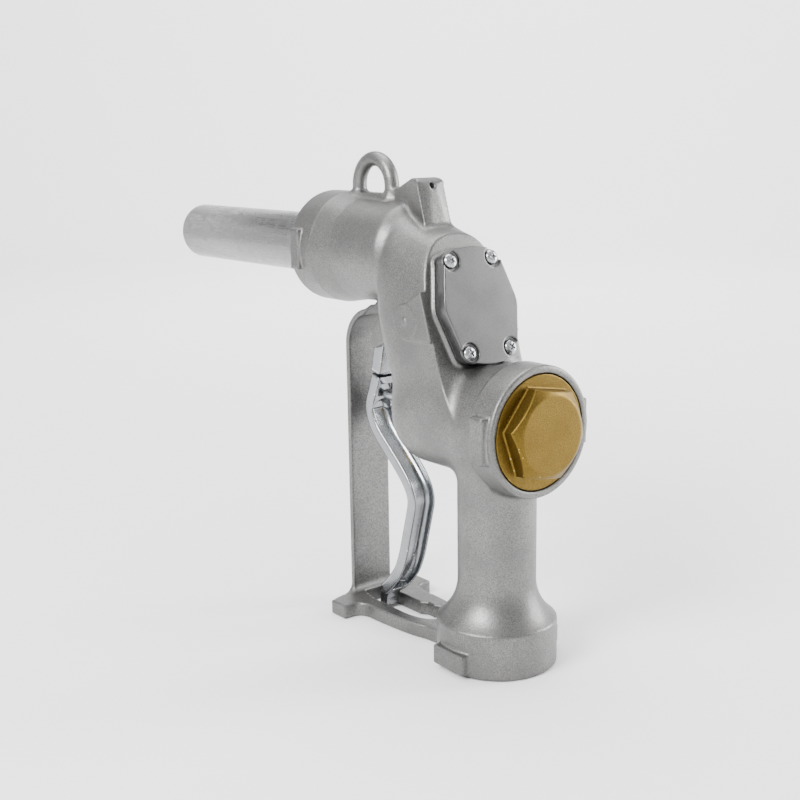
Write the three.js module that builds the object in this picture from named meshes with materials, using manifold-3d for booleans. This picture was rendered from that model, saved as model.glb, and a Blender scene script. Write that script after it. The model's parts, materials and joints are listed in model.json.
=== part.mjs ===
// Automatic shut-off fuel nozzle for a 1 1/2 inch hose, in millimetres, +Z up.
//
// The hose screws into the round collar at the foot of the handle, whose lower face is z = 0 with
// its centre at the origin. The handle rises along +Z into a valve barrel that lies along Y, the
// body climbs from the barrel to the spout, and the spout points along +Y. +X is the nozzle's right.
//
// Squeezing the lever towards the handle pushes the valve stem back along -Y, which lifts the
// poppet off its seat against the main spring behind the brass cap. The lever hangs from a link on
// a trip plunger. Two balls lock the plunger to its sleeve until the diaphragm under the rear
// cover draws the latch pin back; then the plunger gives way and the main valve closes.

import * as THREE from 'three';
import { mergeVertices } from 'three/addons/utils/BufferGeometryUtils.js';
import Module from 'manifold-3d';

const wasm = await Module();
wasm.setup();

// ---- Driving dimensions ----

const GAP = 0.3; // clearance left between pieces that touch
const ROUND = 32; // sides of a large turned surface
const SMALL_ROUND = 14; // sides of a small turned surface

const HANDLE_R = 22.5;
const INLET = { r: 34.65, height: 25, threadR: 22.5, threadDepth: 28, boreR: 17 };
const FLARE_TOP = 50; // the collar's flare has run out into the handle here

const VALVE_Z = 140.7; // height of the valve barrel's axis
const BARREL = { rimR: 36.7, rear: -34.4, step: -15.8, r: 32.5, front: 67, nose: 20 };

const SPOUT_Z = 229.8; // height of the spout's axis
const SPOUT = { r: 19, wall: 1.6, rear: 136.6, end: 316.8 };
const NECK = {
  collarR: 34.4, front: 153.1, shoulder: 131.5, waistR: 31.4, waist: 114, rootR: 29.6, root: 74.5,
};
const NECK_BORE_R = 24;
const SET_SCREW_Y = 141; // the screw under the collar that holds the adapter and spout
const ADAPTER_BORE_R = 27;

const COVER_TILT = THREE.MathUtils.degToRad(17.8); // the cover leans back from upright by this much
const COVER_Y = 12.05;
const COVER_Z = 205.6;
// Depths below the cover's face, along the trip plunger's axis.
const DEPTH = { face: 0.2, seat: 2, cover: 7, flange: 8.7, trunk: 11 };
const SCREW = { x: 15.2, up: 25.9, headR: 4.3, r: 2 };

const TRUNK_W = 32; // half the body's width between barrel and neck

const CAP_TURN = THREE.MathUtils.degToRad(10); // the cap's hexagon, tightened this far past level
const GUARD = { halfWidth: 15, front: 122.4, rear: 118.9, bend: 171, plate: 9 };
const LEVER_W = 8.5; // half the lever's width
const PIVOT = { y: 101, z: 160.6 }; // the lever's pivot pin
const STEM_R = 3.5;
const LATCH_T = 44; // depth of the latch balls below the cover, along the trip plunger

// ---- Solids: three.js makes the shapes, and these join, cut and place them ----

function solid(geometry) {
  const bare = geometry.index ? geometry.toNonIndexed() : geometry.clone();
  bare.deleteAttribute('normal');
  bare.deleteAttribute('uv');
  const merged = mergeVertices(bare, 1e-4);
  const corners = merged.index.array;
  const triangles = [];
  for (let i = 0; i < corners.length; i += 3) {
    const [a, b, c] = [corners[i], corners[i + 1], corners[i + 2]];
    if (a !== b && b !== c && c !== a) triangles.push(a, b, c);
  }
  const build = (list) => new wasm.Manifold(new wasm.Mesh({
    numProp: 3,
    vertProperties: merged.attributes.position.array,
    triVerts: new Uint32Array(list),
  }));
  const made = build(triangles);
  return made.volume() > 0 ? made : build(triangles.reverse());
}

const join = (first, ...rest) => rest.reduce((sum, piece) => sum.add(piece), first);
const cut = (first, ...rest) => rest.reduce((left, piece) => left.subtract(piece), first);

function geometryOf(made) {
  const mesh = made.getMesh();
  const geometry = new THREE.BufferGeometry();
  geometry.setAttribute('position', new THREE.BufferAttribute(mesh.vertProperties, 3));
  geometry.setIndex(new THREE.BufferAttribute(mesh.triVerts, 1));
  geometry.computeVertexNormals();
  return geometry;
}

// A closed profile of [radius, height] points, turned about the Y axis.
function turned(profile, sides = ROUND) {
  const points = profile.map(([radius, height]) => new THREE.Vector2(radius, height));
  return new THREE.LatheGeometry(points, sides);
}

// A ring or tube: a rectangle turned about the Y axis.
const ringProfile = (inner, outer, from, to) => [
  [inner, from], [outer, from], [outer, to], [inner, to], [inner, from]];
const rodProfile = (radius, from, to) => [[0, from], [radius, from], [radius, to], [0, to]];

const onHandle = (geometry) => solid(geometry.rotateX(Math.PI / 2));
const onValve = (geometry) => solid(geometry.translate(0, 0, VALVE_Z));
const onSpout = (geometry) => solid(geometry.translate(0, 0, SPOUT_Z));

// The trip plunger's axis runs from the middle of the cover forwards and down into the body.
const onPlunger = (geometry) => solid(geometry.rotateX(-COVER_TILT).translate(0, COVER_Y, COVER_Z));

function plungerPoint(depth) {
  return {
    y: COVER_Y + depth * Math.cos(COVER_TILT),
    z: COVER_Z - depth * Math.sin(COVER_TILT),
  };
}

// A rod along X through (y, z).
function crossRod(y, z, radius, from, to, sides = SMALL_ROUND) {
  const geometry = turned(rodProfile(radius, from, to), sides);
  return solid(geometry.rotateZ(-Math.PI / 2).translate(0, y, z));
}

function box(x0, x1, y0, y1, z0, z1) {
  const geometry = new THREE.BoxGeometry(x1 - x0, y1 - y0, z1 - z0);
  return solid(geometry.translate((x0 + x1) / 2, (y0 + y1) / 2, (z0 + z1) / 2));
}

function extruded(shape, depth, curveSegments = 8) {
  return new THREE.ExtrudeGeometry(shape, { depth, bevelEnabled: false, curveSegments });
}

const shapeOf = (points) => new THREE.Shape(points.map(([u, v]) => new THREE.Vector2(u, v)));

// A side view drawn in (y, z), as thick as 2 * halfWidth about the plane x = centre.
function sideProfile(shape, halfWidth, centre = 0) {
  const toSide = new THREE.Matrix4().makeBasis(
    new THREE.Vector3(0, 1, 0), new THREE.Vector3(0, 0, 1), new THREE.Vector3(1, 0, 0));
  return solid(extruded(shape, 2 * halfWidth).translate(0, 0, centre - halfWidth).applyMatrix4(toSide));
}

// A shape drawn on the cover's plane in (x, up), reaching from one depth to another. Depth is
// positive into the body.
function onCover(shape, top, bottom) {
  const toCover = new THREE.Matrix4().makeBasis(
    new THREE.Vector3(1, 0, 0),
    new THREE.Vector3(0, Math.sin(COVER_TILT), Math.cos(COVER_TILT)),
    new THREE.Vector3(0, -Math.cos(COVER_TILT), Math.sin(COVER_TILT)));
  const geometry = extruded(shape, bottom - top, 4).translate(0, 0, -bottom);
  return solid(geometry.applyMatrix4(toCover).translate(0, COVER_Y, COVER_Z));
}

// A closed skin over a row of outlines that all have the same number of points.
function loft(outlines) {
  const sides = outlines[0].length;
  const centre = (outline) => outline
    .reduce((sum, point) => sum.add(point), new THREE.Vector3())
    .divideScalar(sides);
  const points = [...outlines.flat(), centre(outlines[0]), centre(outlines.at(-1))];
  const triangles = [];
  for (let row = 0; row + 1 < outlines.length; row += 1) {
    for (let side = 0; side < sides; side += 1) {
      const a = row * sides + side;
      const b = row * sides + (side + 1) % sides;
      triangles.push(a, b, b + sides, a, b + sides, a + sides);
    }
  }
  const last = (outlines.length - 1) * sides;
  for (let side = 0; side < sides; side += 1) {
    const next = (side + 1) % sides;
    triangles.push(next, side, points.length - 2);
    triangles.push(last + side, last + next, points.length - 1);
  }
  const geometry = new THREE.BufferGeometry().setFromPoints(points);
  geometry.setIndex(triangles);
  return solid(geometry);
}

// A coil spring about the Y axis from one height to another.
function coil(radius, wire, from, to, turns) {
  class Helix extends THREE.Curve {
    getPoint(t, target = new THREE.Vector3()) {
      const turn = 2 * Math.PI * turns * t;
      const height = from + wire + (to - from - 2 * wire) * t;
      return target.set(radius * Math.cos(turn), height, radius * Math.sin(turn));
    }
  }
  const section = new THREE.Shape().absarc(0, 0, wire, 0, 2 * Math.PI);
  return new THREE.ExtrudeGeometry(section, {
    extrudePath: new Helix(), steps: Math.round(turns * 10), curveSegments: 2, bevelEnabled: false,
  });
}

// An O-ring about the Y axis.
function oRing(radius, minor, height) {
  return new THREE.TorusGeometry(radius, minor, 5, 24).rotateX(Math.PI / 2).translate(0, height, 0);
}

// ---- Finishes and the assembly ----

const FINISH = {
  casting: { color: 0xa9a8a4, roughness: 0.55, metalness: 0.85 },
  coverPlate: { color: 0xb4b4b2, roughness: 0.35, metalness: 0.9 },
  drawnTube: { color: 0xb0b1b2, roughness: 0.3, metalness: 0.95 },
  lever: { color: 0xb9bdc1, roughness: 0.35, metalness: 0.9 },
  brass: { color: 0xb08a3a, roughness: 0.4, metalness: 0.9 },
  zinc: { color: 0xc8ccd0, roughness: 0.25, metalness: 1 },
  steel: { color: 0x8d9196, roughness: 0.3, metalness: 1 },
  rubber: { color: 0x1c1c1c, roughness: 0.8, metalness: 0 },
};

const nozzle = new THREE.Group();

function add(name, made, finish) {
  const mesh = new THREE.Mesh(geometryOf(made), new THREE.MeshStandardMaterial(FINISH[finish]));
  mesh.name = name;
  nozzle.add(mesh);
}

// ---- Outlines shared by several pieces ----

// The rear cover: bowed top and bottom, straight sides that meet at a soft waist, and round
// corners under the screws.
function coverOutline(grow = 0) {
  const top = { x: 15.5 + grow, up: 30.8 + grow };
  const shoulder = { x: 20.6 + grow, up: 25.5 };
  const hip = { x: 20.4 + grow, up: -25.6 };
  const foot = { x: 14.5 + grow, up: -31.4 - grow };
  const waist = { x: 25.8 + grow, up: 5, tip: 27.4 + grow };
  const shape = new THREE.Shape();
  shape.moveTo(foot.x, foot.up);
  shape.quadraticCurveTo(hip.x - 1, foot.up + 1, hip.x, hip.up);
  shape.lineTo(waist.x, -waist.up);
  shape.quadraticCurveTo(waist.tip, 0, waist.x, waist.up);
  shape.lineTo(shoulder.x, shoulder.up);
  shape.quadraticCurveTo(shoulder.x, top.up - 1, top.x, top.up);
  shape.quadraticCurveTo(0, top.up + 4.6, -top.x, top.up);
  shape.quadraticCurveTo(-shoulder.x, top.up - 1, -shoulder.x, shoulder.up);
  shape.lineTo(-waist.x, waist.up);
  shape.quadraticCurveTo(-waist.tip, 0, -waist.x, -waist.up);
  shape.lineTo(-hip.x, hip.up);
  shape.quadraticCurveTo(-hip.x + 1, foot.up + 1, -foot.x, foot.up);
  shape.quadraticCurveTo(0, foot.up - 4.6, foot.x, foot.up);
  return shape;
}

const screwPlaces = [[-1, 1], [1, 1], [-1, -1], [1, -1]].map(([side, level]) => (
  { x: side * SCREW.x, up: level * SCREW.up }));

// A turned piece about a cover screw's axis, with heights measured down from the screws' seats.
function atScrew(place, profile, sides) {
  const geometry = turned(profile, sides).translate(place.x, DEPTH.seat, place.up);
  return onPlunger(geometry);
}

// ---- Body casting ----

const collarLug = { halfWidth: 12.5, out: 3 };

function handleShape() {
  const flareR = FLARE_TOP - INLET.height + 4;
  const flare = [];
  for (let step = 0; step <= 8; step += 1) {
    const z = INLET.height + 1.5 + (FLARE_TOP - INLET.height - 1.5) * step / 8;
    flare.push([HANDLE_R + flareR - Math.sqrt(flareR ** 2 - (FLARE_TOP - z) ** 2), z]);
  }
  return onHandle(turned([
    [0, 0], [INLET.r - 1.5, 0], [INLET.r, 1.5], [INLET.r, INLET.height],
    ...flare, [HANDLE_R, VALVE_Z - 20], [0, VALVE_Z - 20]]));
}

function barrelShape() {
  const nose = [];
  for (let step = 0; step <= 6; step += 1) {
    const angle = Math.PI / 2 * step / 6;
    nose.push([
      BARREL.r - BARREL.nose + BARREL.nose * Math.cos(angle),
      BARREL.front - BARREL.nose + BARREL.nose * Math.sin(angle)]);
  }
  return onValve(turned([
    [0, BARREL.rear], [BARREL.rimR - 1, BARREL.rear], [BARREL.rimR, BARREL.rear + 1],
    [BARREL.rimR, BARREL.step - 1], [BARREL.rimR - 1, BARREL.step], [BARREL.r, BARREL.step + 2],
    ...nose, [0, BARREL.front]]));
}

function neckShape(grow = 0) {
  return onSpout(turned([
    [0, NECK.root - 12], [22, NECK.root - 9], [NECK.rootR - 2.5 + grow, NECK.root - 5],
    [NECK.rootR + grow, NECK.root],
    [NECK.waistR + grow, NECK.waist], [NECK.collarR - 0.4 + grow, NECK.shoulder - 1.5],
    [NECK.collarR + grow, NECK.shoulder],
    [NECK.collarR + grow, NECK.front - 1.2], [NECK.collarR - 1.2 + grow, NECK.front], [0, NECK.front]]));
}

// The body between the barrel and the neck, as upright slices along Y. Each slice is a rounded
// block from its bottom to its crest; the front slices shrink to a round nose under the neck.
function trunkShape() {
  const slices = [
    { y: -4, bottom: 118, crest: 206, half: 28 },
    { y: 8, bottom: 118, crest: 225, half: 31 },
    { y: 20, bottom: 118, crest: 236, half: TRUNK_W },
    { y: 33, bottom: 120, crest: 242.5, half: TRUNK_W },
    { y: 46, bottom: 128, crest: 246, half: TRUNK_W },
    { y: 56, bottom: 138, crest: 249.5, half: TRUNK_W - 0.5 },
    { y: 64, bottom: 150, crest: 253, half: TRUNK_W - 1.5 },
    { y: 71, bottom: 166, crest: 256, half: TRUNK_W - 4 },
    { y: 77, bottom: 176, crest: 256, half: TRUNK_W - 8 },
    { y: 82, bottom: 184, crest: 254, half: TRUNK_W - 14 },
    { y: 86, bottom: 194, crest: 248, half: TRUNK_W - 21 },
  ];
  const sides = 28;
  const squareness = 2.7; // 2 would be an ellipse; more is closer to a block
  const rounded = (value) => Math.sign(value) * Math.abs(value) ** (2 / squareness);
  return loft(slices.map(({ y, bottom, crest, half }) => {
    const middle = (bottom + crest) / 2;
    return Array.from({ length: sides }, (unused, side) => {
      const angle = 2 * Math.PI * side / sides;
      return new THREE.Vector3(
        half * rounded(Math.cos(angle)), y, middle + (crest - middle) * rounded(Math.sin(angle)));
    });
  }));
}

// The hollow upright block behind the loop that carries the venturi's test port.
const FIN = { apex: 98, rear: 55, halfWidth: 10, top: 273.4, base: 246, lean: 7 };

function finShape() {
  const wedge = shapeOf([
    [0, FIN.apex], [-FIN.halfWidth, FIN.rear + 1], [0, FIN.rear - 2], [FIN.halfWidth, FIN.rear + 1]]);
  const plan = solid(extruded(wedge, 40).translate(0, 0, FIN.base - 8));
  const side = new THREE.Shape();
  side.moveTo(FIN.apex, FIN.base - 8);
  side.lineTo(FIN.apex, 262);
  side.lineTo(FIN.rear + 10, FIN.top - 1.5);
  side.quadraticCurveTo(FIN.rear + 3, FIN.top + 0.6, FIN.rear - 1, FIN.top - 5);
  side.lineTo(FIN.rear - FIN.lean, FIN.base);
  side.lineTo(FIN.rear - FIN.lean, FIN.base - 8);
  const leaning = solid(extruded(wedge, 40).translate(0, -FIN.lean, FIN.base - 8));
  return plan.add(leaning).intersect(sideProfile(side, FIN.halfWidth));
}

// The hanging loop: a round rod bent over the neck, on a low bar.
const LOOP = { y: 107.8, r: 16, rod: 4.4, bend: 267.9, foot: 252 };

function loopShape() {
  const path = new THREE.CurvePath();
  const place = (y, z) => new THREE.Vector3(0, y, z);
  path.add(new THREE.LineCurve3(place(LOOP.y + LOOP.r, LOOP.foot), place(LOOP.y + LOOP.r, LOOP.bend)));
  const arc = [];
  for (let step = 0; step <= 12; step += 1) {
    const angle = Math.PI * step / 12;
    arc.push(place(LOOP.y + LOOP.r * Math.cos(angle), LOOP.bend + LOOP.r * Math.sin(angle)));
  }
  path.add(new THREE.CatmullRomCurve3(arc));
  path.add(new THREE.LineCurve3(place(LOOP.y - LOOP.r, LOOP.bend), place(LOOP.y - LOOP.r, LOOP.foot)));
  const section = new THREE.Shape().absarc(0, 0, LOOP.rod, 0, 2 * Math.PI);
  const rod = solid(new THREE.ExtrudeGeometry(section, {
    extrudePath: path, steps: 22, curveSegments: 5, bevelEnabled: false }));
  const bar = box(-LOOP.rod, LOOP.rod, LOOP.y - LOOP.r - 2, LOOP.y + LOOP.r + LOOP.rod, LOOP.foot, 263.8);
  return rod.add(bar);
}

function lugs() {
  const wide = (out, y0, y1, z0, z1) => box(-out, out, y0, y1, z0, z1);
  const half = collarLug.halfWidth;
  return [
    wide(INLET.r + 3.2, -half, half, 3, 14.5),
    wide(BARREL.rimR + collarLug.out, BARREL.rear + 3.5, BARREL.rear + 13.5,
      VALVE_Z - half - 0.5, VALVE_Z + half + 0.5),
    wide(NECK.collarR + 1.4, NECK.front - 12.5, NECK.front - 3.5, SPOUT_Z - half, SPOUT_Z + half),
  ];
}

// Round boss with a small centre pip, and the raised plate that runs back from it, on both sides.
const BOSS = { y: 39.5, z: 196.3, r: 10.2 };

function sideBosses() {
  const out = TRUNK_W + 1.8;
  const foot = BOSS.z - BOSS.r;
  const pad = shapeOf([
    [BOSS.y, foot], [BOSS.y, BOSS.z + BOSS.r], [BOSS.y - 16, BOSS.z + 20], [0, BOSS.z + 20], [0, foot]]);
  return [
    crossRod(BOSS.y, BOSS.z, BOSS.r, -out, out, 28),
    crossRod(BOSS.y, BOSS.z, 2, -out - 0.8, out + 0.8),
    sideProfile(pad, out - 0.4),
  ];
}

const behindCover = (top, bottom) => (
  onCover(shapeOf([[-60, -80], [60, -80], [60, 70], [-60, 70]]), top, bottom));

// Cheeks in front of the plunger's exit that the link slides between.
function linkCheeks() {
  const side = shapeOf([[82, 178], [82, 187], [91, 191.5], [98.4, 183], [101, 171.1], [94.7, 171.6]]);
  const between = LEVER_W + 2 * GAP;
  return cut(sideProfile(side, between + 3), box(-between, between, 80, 105, 165, 187));
}

function flowPassages() {
  const inlet = onHandle(turned([
    [0, -1], [INLET.threadR, -1], [INLET.threadR, INLET.threadDepth],
    [INLET.boreR, INLET.threadDepth + 6], [INLET.boreR, VALVE_Z - 16], [0, VALVE_Z - 16]]));
  const chamber = onValve(turned([
    [0, BARREL.rear - 1], [32.4, BARREL.rear - 1], [32.4, -29.9], [29.9, -29.9], [29.9, -20], [27, -18],
    [27, 23.6], [19.6, 23.6], [19.6, 33.4], [26, 36], [26, 50], [22, 54], [0, 54]]));
  const riser = loft([[150, 20], [165, 22], [205, 22], [222, 18], [232, 11]].map(([z, half]) => (
    Array.from({ length: 20 }, (unused, side) => {
      const angle = 2 * Math.PI * side / 20;
      return new THREE.Vector3(half * Math.cos(angle), 50 + 11 * Math.sin(angle), z);
    }))));
  const boss = onPlunger(turned(rodProfile(12.5, 10, 60), 24));
  const neck = onSpout(turned([
    [0, 57], [10, 57], [NECK_BORE_R, 79], [NECK_BORE_R, 111.4], [ADAPTER_BORE_R, 111.4],
    [ADAPTER_BORE_R, NECK.front + 1], [0, NECK.front + 1]]));
  return [inlet, chamber, cut(riser, boss), neck];
}

// The port's axis runs forwards and a little down from the top of the fin's rear face.
const onPort = (geometry) => solid(geometry.rotateX(-0.3).translate(0, 54, 269.6));

function machinedBores() {
  const gland = onValve(turned([
    [0, 50], [STEM_R + 0.6, 50], [STEM_R + 0.6, 56], [8, 56], [8, 75], [0, 75]], SMALL_ROUND));
  const pocket = onPlunger(turned([
    [0, DEPTH.flange - 1], [17.5, DEPTH.flange - 1], [17.5, 19], [9.1, 19], [9.1, 95], [0, 95]], 24));
  const flange = DEPTH.flange - DEPTH.seat;
  const holes = screwPlaces.map((place) => atScrew(place, rodProfile(SCREW.r + GAP, flange - 1, 17), 12));
  const port = onPort(turned(rodProfile(1.9, -4, 24), 12));
  const setScrew = onHandle(turned(rodProfile(3.2, 190, 212), 14).translate(0, 0, -SET_SCREW_Y));
  return [gland, pocket, ...holes, port, setScrew];
}

function bodyCasting() {
  const exitBoss = onPlunger(turned(rodProfile(11.5, 50, 80), 24));
  const glandBoss = onValve(turned(rodProfile(13, 50, 70), 24));
  const outside = join(
    handleShape(), barrelShape(), neckShape(), finShape(), loopShape(), exitBoss, glandBoss,
    linkCheeks(), ...lugs(),
    cut(join(trunkShape(), ...sideBosses()), behindCover(-60, DEPTH.trunk)),
    onCover(coverOutline(0.6), DEPTH.flange, DEPTH.trunk + 12));
  const coverSpace = onCover(coverOutline(1), -25, DEPTH.flange);
  return cut(outside, coverSpace, ...flowPassages(), ...machinedBores());
}

add('body_casting', bodyCasting(), 'casting');

// ---- Lever guard: the strip in front of the lever and the slotted base ----

function guardStrip() {
  const bendR = 24.4;
  const centre = GUARD.front - bendR;
  const thick = GUARD.front - GUARD.rear;
  const side = new THREE.Shape();
  side.moveTo(GUARD.front, 2);
  side.lineTo(GUARD.front, GUARD.bend);
  side.absarc(centre, GUARD.bend, bendR, 0, 1.25, false);
  side.lineTo(100, 205);
  side.lineTo(95, 199);
  side.absarc(centre, GUARD.bend, bendR - thick, 1.15, 0, true);
  side.lineTo(GUARD.rear, GUARD.plate + 7);
  side.quadraticCurveTo(GUARD.rear, GUARD.plate, GUARD.rear - 7, GUARD.plate);
  side.lineTo(GUARD.rear - 7, 2);
  return sideProfile(side, GUARD.halfWidth);
}

function guardBase() {
  const plan = new THREE.Shape();
  const wing = { x: 34.8, front: 116.8, rear: 102.2 };
  const rail = 20.5;
  plan.moveTo(-GUARD.halfWidth, GUARD.front);
  plan.lineTo(-wing.x, wing.front);
  plan.lineTo(-wing.x, wing.rear);
  plan.lineTo(-rail - 8, wing.rear);
  plan.quadraticCurveTo(-rail - 2, wing.rear, -rail - 1, wing.rear - 8);
  plan.quadraticCurveTo(-rail - 0.5, 60, -16, 46);
  plan.lineTo(-14, 28);
  plan.lineTo(14, 28);
  plan.lineTo(16, 46);
  plan.quadraticCurveTo(rail + 0.5, 60, rail + 1, wing.rear - 8);
  plan.quadraticCurveTo(rail + 2, wing.rear, rail + 8, wing.rear);
  plan.lineTo(wing.x, wing.rear);
  plan.lineTo(wing.x, wing.front);
  plan.lineTo(GUARD.halfWidth, GUARD.front);
  // The slot the lever's tip swings in, with hold-open steps along its right side.
  const slot = new THREE.Path();
  slot.moveTo(-8.5, 116);
  slot.lineTo(6.5, 116);
  slot.lineTo(6.5, 77.5);
  slot.lineTo(9.5, 74);
  slot.lineTo(9.5, 67.5);
  slot.lineTo(12, 64.5);
  slot.quadraticCurveTo(12, 49.5, 0, 49.5);
  slot.quadraticCurveTo(-11.5, 50, -12, 74);
  slot.lineTo(-12, 98);
  slot.lineTo(-8.5, 116);
  plan.holes.push(slot);
  return solid(extruded(plan, GUARD.plate));
}

function leverGuard() {
  const slotAbove = box(-8, 6.5, 100, 116, GUARD.plate - 1, 30);
  const collar = onHandle(turned(rodProfile(INLET.r + GAP, -1, 30)));
  return cut(join(guardStrip().subtract(slotAbove), guardBase()), neckShape(GAP), collar);
}

add('lever_guard', leverGuard(), 'casting');

// ---- Spout group ----

function spoutAdapter() {
  const sleeve = onSpout(turned([
    [14.5, 111.8], [26.6, 111.8], [26.6, 124.4], [24.5, 124.4], [24.5, 126.6], [26.6, 126.6],
    [26.6, 152.4], [19.3, 152.4], [19.3, 147], [20.9, 147], [20.9, 144.8], [19.3, 144.8],
    [19.3, 136.3], [17, 136.3], [17, 116], [14.5, 113], [14.5, 111.8]]));
  const spokes = [0, 1, 2].map((arm) => {
    const bar = new THREE.BoxGeometry(2.4, 3, 15).translate(0, 132.5, 10.2);
    return onSpout(bar.rotateY(arm * 2 * Math.PI / 3));
  });
  const hub = onSpout(turned(ringProfile(2.4, 4.5, 131, 134), SMALL_ROUND));
  const screwHole = onHandle(turned(rodProfile(3.2, 190, 212), 14).translate(0, 0, -SET_SCREW_Y));
  return join(sleeve, ...spokes, hub).subtract(screwHole);
}

function spoutTube() {
  const outer = SPOUT.r;
  const inner = SPOUT.r - SPOUT.wall;
  const tube = onSpout(turned([
    [inner, SPOUT.rear], [outer, SPOUT.rear], [outer, SPOUT.end - 0.6], [outer - 0.5, SPOUT.end],
    [inner, SPOUT.end], [inner, SPOUT.rear]]));
  const sensingHole = onHandle(turned(rodProfile(2, SPOUT_Z - outer - 1, SPOUT_Z - inner + 1), 12)
    .translate(0, 0, -SPOUT.end + 14));
  return tube.subtract(sensingHole);
}

function checkPoppet() {
  return onSpout(turned([
    [0, 113.6], [14.9, 113.6], [16.2, 115.4], [16.2, 118], [4, 120], [2, 122], [2, 138], [0, 138]], 24));
}

// The thin pipe from the tip's sensing hole back to the venturi, along the spout's lower wall.
function ventTube() {
  const pipe = turned(ringProfile(2, 3, 139, 300), 12);
  return onSpout(pipe.translate(0, 0, -13.9));
}

function setScrew() {
  const belowSpout = (profile, sides) => onHandle(turned(profile, sides).translate(0, 0, -SET_SCREW_Y));
  const body = belowSpout(rodProfile(2.9, SPOUT_Z - 33.5, SPOUT_Z - 19.4), 14);
  const socket = belowSpout(rodProfile(1.4, 190, SPOUT_Z - 30), 6);
  return body.subtract(socket);
}

add('spout_adapter', spoutAdapter(), 'casting');
add('spout_tube', spoutTube(), 'drawnTube');
add('spout_o_ring', onSpout(oRing(20.02, 0.75, 145.9)), 'rubber');
add('adapter_o_ring', onSpout(oRing(25.9, 0.85, 125.5)), 'rubber');
add('spout_set_screw', setScrew(), 'zinc');
add('check_poppet', checkPoppet(), 'brass');
add('check_spring', onSpout(coil(6, 0.6, 120.6, 130.8, 4)), 'steel');
add('vent_tube', ventTube(), 'steel');

// ---- Main valve ----

function valveSeat() {
  return onValve(turned([
    [15.5, 24.4], [16.6, 23.9], [17.6, 24.4], [19.3, 25.4], [19.3, 33], [15.5, 33], [15.5, 24.4]], 24));
}

// Back plate with a skirt that centres the main spring.
function poppet() {
  return onValve(turned([
    [4.3, 15], [9.6, 15], [9.6, 17.2], [14.2, 17.2], [14.2, 14], [15.4, 14], [18.6, 17.4], [18.6, 21.2],
    [4.3, 21.2], [4.3, 15]], 24));
}

function valveStem() {
  return onValve(turned([
    [0, 11], [8, 11], [8, 14.6], [STEM_R, 14.6], [STEM_R, 100.6], [2.2, 102.2], [0, 102.5]], SMALL_ROUND));
}

function glandNut() {
  const across = 10 / Math.cos(Math.PI / 6);
  const hex = onValve(turned(rodProfile(across, 70.4, 78), 6));
  const thread = onValve(turned(rodProfile(7.7, 60, 70.5), SMALL_ROUND));
  const bore = onValve(turned(rodProfile(STEM_R + GAP, 58, 80), SMALL_ROUND));
  return hex.add(thread).subtract(bore);
}

// Brass cap: flange, threaded skirt open to the barrel, and a chamfered hexagon 47.5 mm across flats.
function poppetCap() {
  const flange = -31.1;
  const hexFace = -43.5;
  const across = 23.75 / Math.cos(Math.PI / 6);
  const round = onValve(turned([
    [0, hexFace], [21.8, hexFace], [across, hexFace + 3.4], [across, -34], [31.2, -33.9], [31.9, -33.2],
    [31.9, flange], [29.5, flange], [29.5, -20.6], [25, -20.6], [25, -29], [0, -29]], 48));
  const hexagon = turned(rodProfile(across, hexFace - 1, -33.9), 6).rotateY(Math.PI / 6 + CAP_TURN);
  const around = onValve(turned(rodProfile(40, -33.95, -10)));
  return round.intersect(join(onValve(hexagon), around));
}

add('valve_seat', valveSeat(), 'brass');
add('valve_stem', valveStem(), 'steel');
add('poppet', poppet(), 'brass');
add('poppet_seal', onValve(turned(ringProfile(12.2, 18, 21.5, 23.6), 32)), 'rubber');
add('seal_retainer', onValve(turned(ringProfile(STEM_R + GAP, 11.9, 21.5, 24.6), 28)), 'brass');
add('gland_nut', glandNut(), 'brass');
add('gland_packing', onValve(turned(ringProfile(STEM_R + GAP, 7.6, 56.3, 59.7), SMALL_ROUND)), 'rubber');
add('main_spring', onValve(coil(12, 1.5, -28.6, 16.9, 6)), 'steel');
add('poppet_cap', poppetCap(), 'brass');
add('cap_o_ring', onValve(oRing(31.1, 0.4, -30.5)), 'rubber');

// ---- Shut-off mechanism under the rear cover ----

// The cover plate: the screws sit in round pockets, and a chamber for the diaphragm lies under it.
function diaphragmCover() {
  const plate = onCover(coverOutline(), DEPTH.face, DEPTH.cover);
  const pockets = screwPlaces.flatMap((place) => [
    atScrew(place, rodProfile(5.8, -4, 0), 20),
    atScrew(place, rodProfile(SCREW.r + GAP, -4, 8), 12)]);
  const chamber = onPlunger(turned([[0, 2.4], [16, 2.4], [18.5, 4], [18.5, 9], [0, 9]], 24));
  return cut(plate, ...pockets, chamber);
}

// Rubber diaphragm: a flat rim clamped under the cover, dished in to a flat middle.
function diaphragm() {
  const top = DEPTH.cover + GAP;
  const under = DEPTH.flange - GAP;
  const rim = onCover(coverOutline(-0.4), top, under);
  const opening = onPlunger(turned(rodProfile(15, 0, 10), 24));
  const dish = onPlunger(turned([
    [3.1, 11.2], [11.8, 11.2], [14.8, top], [16.5, top], [16.5, under], [12.8, 12.4], [3.1, 12.4],
    [3.1, 11.2]], 24));
  const holes = screwPlaces.map((place) => atScrew(place, rodProfile(SCREW.r + GAP, 0, 10), 12));
  return cut(cut(rim, opening).add(dish), ...holes);
}

function coverScrew(place) {
  const body = atScrew(place, [
    [0, -2.6], [2.4, -2.4], [3.8, -1.6], [SCREW.headR, -0.6], [SCREW.headR, -GAP],
    [SCREW.r, -GAP], [SCREW.r, 15.6], [1.2, 16.6], [0, 16.6]], 16);
  const armOf = (width, length) => {
    const arm = new THREE.BoxGeometry(width, 2, length).translate(place.x, DEPTH.seat - 2.4, place.up);
    return onPlunger(arm);
  };
  return cut(body, armOf(0.8, 4.2), armOf(4.2, 0.8));
}

function latchPin() {
  return onPlunger(turned([
    [0, 6.4], [2.6, 6.4], [2.6, 44.3], [1.2, 44.4], [1.2, 52], [0, 52]], 16));
}

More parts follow.
